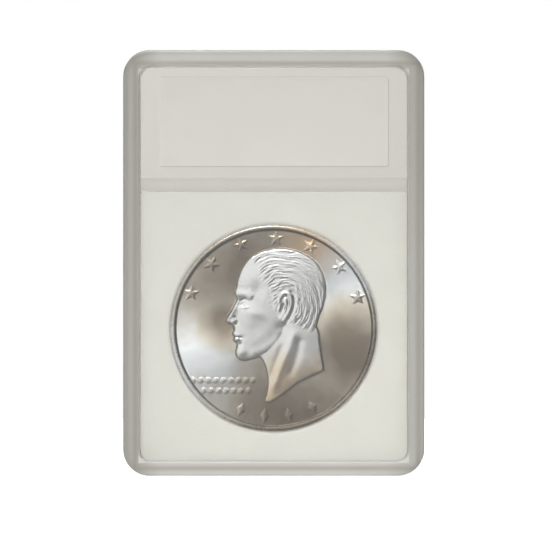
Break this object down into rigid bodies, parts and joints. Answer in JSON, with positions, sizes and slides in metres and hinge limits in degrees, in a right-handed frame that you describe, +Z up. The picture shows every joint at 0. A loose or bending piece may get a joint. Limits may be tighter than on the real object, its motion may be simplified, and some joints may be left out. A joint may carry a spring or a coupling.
{
  "type": "coin display slab",
  "caption": "Clear snap-together upright slab holding a relief coin in a white foam insert below a blank label card; the front shell pulls off.",
  "frame": {"origin": "middle of the bottom edge, at the centre of the bounding box's bottom", "axes": "+Z up towards the label end, +X to the right seen from the front, -Y out of the front window"},
  "size_m": [0.059, 0.008, 0.0834],
  "materials": {
    "clear_front": "polished clear polystyrene moulding",
    "clear_back": "polished clear polystyrene moulding",
    "foam": "matt closed-cell EVA foam",
    "coin_silver": "struck silver, mirror-like fields and frosted relief, lightly toned",
    "card": "uncoated white card"
  },
  "bodies": {
    "back_half": {"back_shell": "clear_back"},
    "front_half": {"front_shell": "clear_front"},
    "label": {"label_card": "card"},
    "insert": {"coin_insert": "foam"},
    "coin": {"coin": "coin_silver"}
  },
  "joints": [
    {"name": "front_shell_pull", "type": "slide", "parent": "back_half", "child": "front_half", "axis": [0, -1, 0], "range_m": [0, 0.045]},
    {"name": "label_lift_out", "type": "slide", "parent": "back_half", "child": "label", "axis": [0, -1, 0], "range_m": [0, 0.0225]},
    {"name": "insert_lift_out", "type": "slide", "parent": "back_half", "child": "insert", "axis": [0, -1, 0], "range_m": [0, 0.015]},
    {"name": "coin_lift_out", "type": "slide", "parent": "insert", "child": "coin", "axis": [0, -1, 0], "range_m": [0, 0.015]}
  ],
  "couplings": [
    {"joint": "label_lift_out", "follows": "front_shell_pull", "ratio": 0.5},
    {"joint": "insert_lift_out", "follows": "front_shell_pull", "ratio": 0.3333},
    {"joint": "coin_lift_out", "follows": "front_shell_pull", "ratio": 0.3333}
  ]
}
